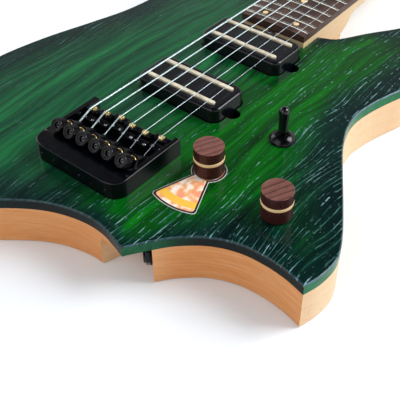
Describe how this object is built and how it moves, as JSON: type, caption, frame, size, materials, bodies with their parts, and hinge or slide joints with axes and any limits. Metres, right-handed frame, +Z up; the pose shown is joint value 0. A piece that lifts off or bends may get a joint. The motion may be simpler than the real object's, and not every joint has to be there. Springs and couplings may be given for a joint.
{
  "type": "headless electric guitar",
  "caption": "Headless electric guitar with a green stained top, natural back, tail tuners in the bridge, blade pickups, pull control and an output jack under a tail point.",
  "frame": {"origin": "on the centre line below the saddles, in the plane of the body's back, on which the guitar lies", "axes": "+Y along the strings to the head, +X to the treble side, +Z up out of the top"},
  "size_m": [0.2996, 0.8142, 0.06],
  "materials": {
    "alder": "natural satin lacquer",
    "black_metal": "satin black",
    "black_plastic": "satin",
    "bone": "satin",
    "brass": "turned",
    "card": "printed, glossy",
    "maple": "natural satin lacquer",
    "pale_steel": "polished",
    "rosewood": "oiled",
    "stained_ash": "glossy green stain over open pores",
    "steel": "plain wound or drawn"
  },
  "bodies": {
    "body": {"body_back": "alder", "body_top": "stained_ash", "bridge_base": "black_metal", "bridge_pickup": "black_plastic", "bridge_pickup_blades": "pale_steel", "control_cover": "black_plastic", "fretboard": "rosewood", "headpiece": "black_metal", "jack_lead": "black_plastic", "neck": "maple", "neck_pickup": "black_plastic", "neck_pickup_blades": "pale_steel", "neck_screw_1": "black_metal", "neck_screw_2": "black_metal", "neck_screw_3": "black_metal", "neck_screw_4": "black_metal", "nut": "bone", "output_jack": "black_metal", "pull_tag": "card", "strap_button_horn": "black_metal", "strap_button_tail": "black_metal", "string_1": "steel", "string_2": "steel", "string_3": "steel", "string_4": "steel", "string_5": "steel", "string_6": "steel", "string_clamp": "black_metal", "switch_case": "steel", "switch_collar": "black_metal", "tone_pot": "steel", "truss_rod": "steel", "volume_pot": "steel"},
    "tuner_knob_1_turn": {"tuner_knob_1": "black_metal"},
    "puller_1_travel": {"puller_1": "brass"},
    "saddle_1_travel": {"saddle_1": "black_metal"},
    "tuner_knob_2_turn": {"tuner_knob_2": "black_metal"},
    "puller_2_travel": {"puller_2": "brass"},
    "saddle_2_travel": {"saddle_2": "black_metal"},
    "tuner_knob_3_turn": {"tuner_knob_3": "black_metal"},
    "puller_3_travel": {"puller_3": "brass"},
    "saddle_3_travel": {"saddle_3": "black_metal"},
    "tuner_knob_4_turn": {"tuner_knob_4": "black_metal"},
    "puller_4_travel": {"puller_4": "brass"},
    "saddle_4_travel": {"saddle_4": "black_metal"},
    "tuner_knob_5_turn": {"tuner_knob_5": "black_metal"},
    "puller_5_travel": {"puller_5": "brass"},
    "saddle_5_travel": {"saddle_5": "black_metal"},
    "tuner_knob_6_turn": {"tuner_knob_6": "black_metal"},
    "puller_6_travel": {"puller_6": "brass"},
    "saddle_6_travel": {"saddle_6": "black_metal"},
    "volume_pull_part": {"volume_plunger": "black_plastic"},
    "volume_turn_part": {"volume_knob": "rosewood", "volume_ring": "maple", "volume_shaft": "steel"},
    "tone_turn_part": {"tone_knob": "rosewood", "tone_ring": "maple", "tone_shaft": "steel"},
    "switch_lever_part": {"switch_lever": "black_plastic"},
    "truss_wheel_part": {"truss_wheel": "steel"}
  },
  "joints": [
    {"name": "tuner_1_turn", "type": "hinge", "parent": "body", "child": "tuner_knob_1_turn", "pos_m": [-0.027, -0.0342, 0.0534], "axis": [0, -0.8192, 0.5736], "range_deg": [-1080, 720]},
    {"name": "puller_1_slide", "type": "slide", "parent": "body", "child": "puller_1_travel", "axis": [0, -0.8192, 0.5736], "range_m": [-0.00225, 0.0015]},
    {"name": "saddle_1_slide", "type": "slide", "parent": "body", "child": "saddle_1_travel", "axis": [0, 1, 0], "range_m": [-0.0015, 0.003]},
    {"name": "tuner_2_turn", "type": "hinge", "parent": "body", "child": "tuner_knob_2_turn", "pos_m": [-0.0162, -0.0342, 0.0534], "axis": [0, -0.8192, 0.5736], "range_deg": [-1080, 720]},
    {"name": "puller_2_slide", "type": "slide", "parent": "body", "child": "puller_2_travel", "axis": [0, -0.8192, 0.5736], "range_m": [-0.00225, 0.0015]},
    {"name": "saddle_2_slide", "type": "slide", "parent": "body", "child": "saddle_2_travel", "axis": [0, 1, 0], "range_m": [-0.0015, 0.003]},
    {"name": "tuner_3_turn", "type": "hinge", "parent": "body", "child": "tuner_knob_3_turn", "pos_m": [-0.0054, -0.0342, 0.0534], "axis": [0, -0.8192, 0.5736], "range_deg": [-1080, 720]},
    {"name": "puller_3_slide", "type": "slide", "parent": "body", "child": "puller_3_travel", "axis": [0, -0.8192, 0.5736], "range_m": [-0.00225, 0.0015]},
    {"name": "saddle_3_slide", "type": "slide", "parent": "body", "child": "saddle_3_travel", "axis": [0, 1, 0], "range_m": [-0.0015, 0.003]},
    {"name": "tuner_4_turn", "type": "hinge", "parent": "body", "child": "tuner_knob_4_turn", "pos_m": [0.0054, -0.0342, 0.0534], "axis": [0, -0.8192, 0.5736], "range_deg": [-1080, 720]},
    {"name": "puller_4_slide", "type": "slide", "parent": "body", "child": "puller_4_travel", "axis": [0, -0.8192, 0.5736], "range_m": [-0.00225, 0.0015]},
    {"name": "saddle_4_slide", "type": "slide", "parent": "body", "child": "saddle_4_travel", "axis": [0, 1, 0], "range_m": [-0.0015, 0.003]},
    {"name": "tuner_5_turn", "type": "hinge", "parent": "body", "child": "tuner_knob_5_turn", "pos_m": [0.0162, -0.0342, 0.0534], "axis": [0, -0.8192, 0.5736], "range_deg": [-1080, 720]},
    {"name": "puller_5_slide", "type": "slide", "parent": "body", "child": "puller_5_travel", "axis": [0, -0.8192, 0.5736], "range_m": [-0.00225, 0.0015]},
    {"name": "saddle_5_slide", "type": "slide", "parent": "body", "child": "saddle_5_travel", "axis": [0, 1, 0], "range_m": [-0.0015, 0.003]},
    {"name": "tuner_6_turn", "type": "hinge", "parent": "body", "child": "tuner_knob_6_turn", "pos_m": [0.027, -0.0342, 0.0534], "axis": [0, -0.8192, 0.5736], "range_deg": [-1080, 720]},
    {"name": "puller_6_slide", "type": "slide", "parent": "body", "child": "puller_6_travel", "axis": [0, -0.8192, 0.5736], "range_m": [-0.00225, 0.0015]},
    {"name": "saddle_6_slide", "type": "slide", "parent": "body", "child": "saddle_6_travel", "axis": [0, 1, 0], "range_m": [-0.0015, 0.003]},
    {"name": "volume_pull", "type": "slide", "parent": "body", "child": "volume_pull_part", "axis": [0, 0, 1], "range_m": [0, 0.0045]},
    {"name": "volume_turn", "type": "hinge", "parent": "volume_pull_part", "child": "volume_turn_part", "pos_m": [0.0595, 0.0071, 0.035], "axis": [0, 0, 1], "range_deg": [0, 300]},
    {"name": "tone_turn", "type": "hinge", "parent": "body", "child": "tone_turn_part", "pos_m": [0.1127, 0.0014, 0.035], "axis": [0, 0, 1], "range_deg": [0, 300]},
    {"name": "switch_rock", "type": "hinge", "parent": "body", "child": "switch_lever_part", "pos_m": [0.0767, 0.0592, 0.0335], "axis": [1, 0, 0], "range_deg": [-12, 12]},
    {"name": "truss_turn", "type": "hinge", "parent": "body", "child": "truss_wheel_part", "pos_m": [0, 0.156, 0.0343], "axis": [0, 1, 0], "range_deg": [-360, 360]}
  ],
  "couplings": [
    {"joint": "tuner_1_turn", "follows": "puller_1_slide", "rad_per_m": 8377.6},
    {"joint": "tuner_2_turn", "follows": "puller_2_slide", "rad_per_m": 8377.6},
    {"joint": "tuner_3_turn", "follows": "puller_3_slide", "rad_per_m": 8377.6},
    {"joint": "tuner_4_turn", "follows": "puller_4_slide", "rad_per_m": 8377.6},
    {"joint": "tuner_5_turn", "follows": "puller_5_slide", "rad_per_m": 8377.6},
    {"joint": "tuner_6_turn", "follows": "puller_6_slide", "rad_per_m": 8377.6}
  ]
}
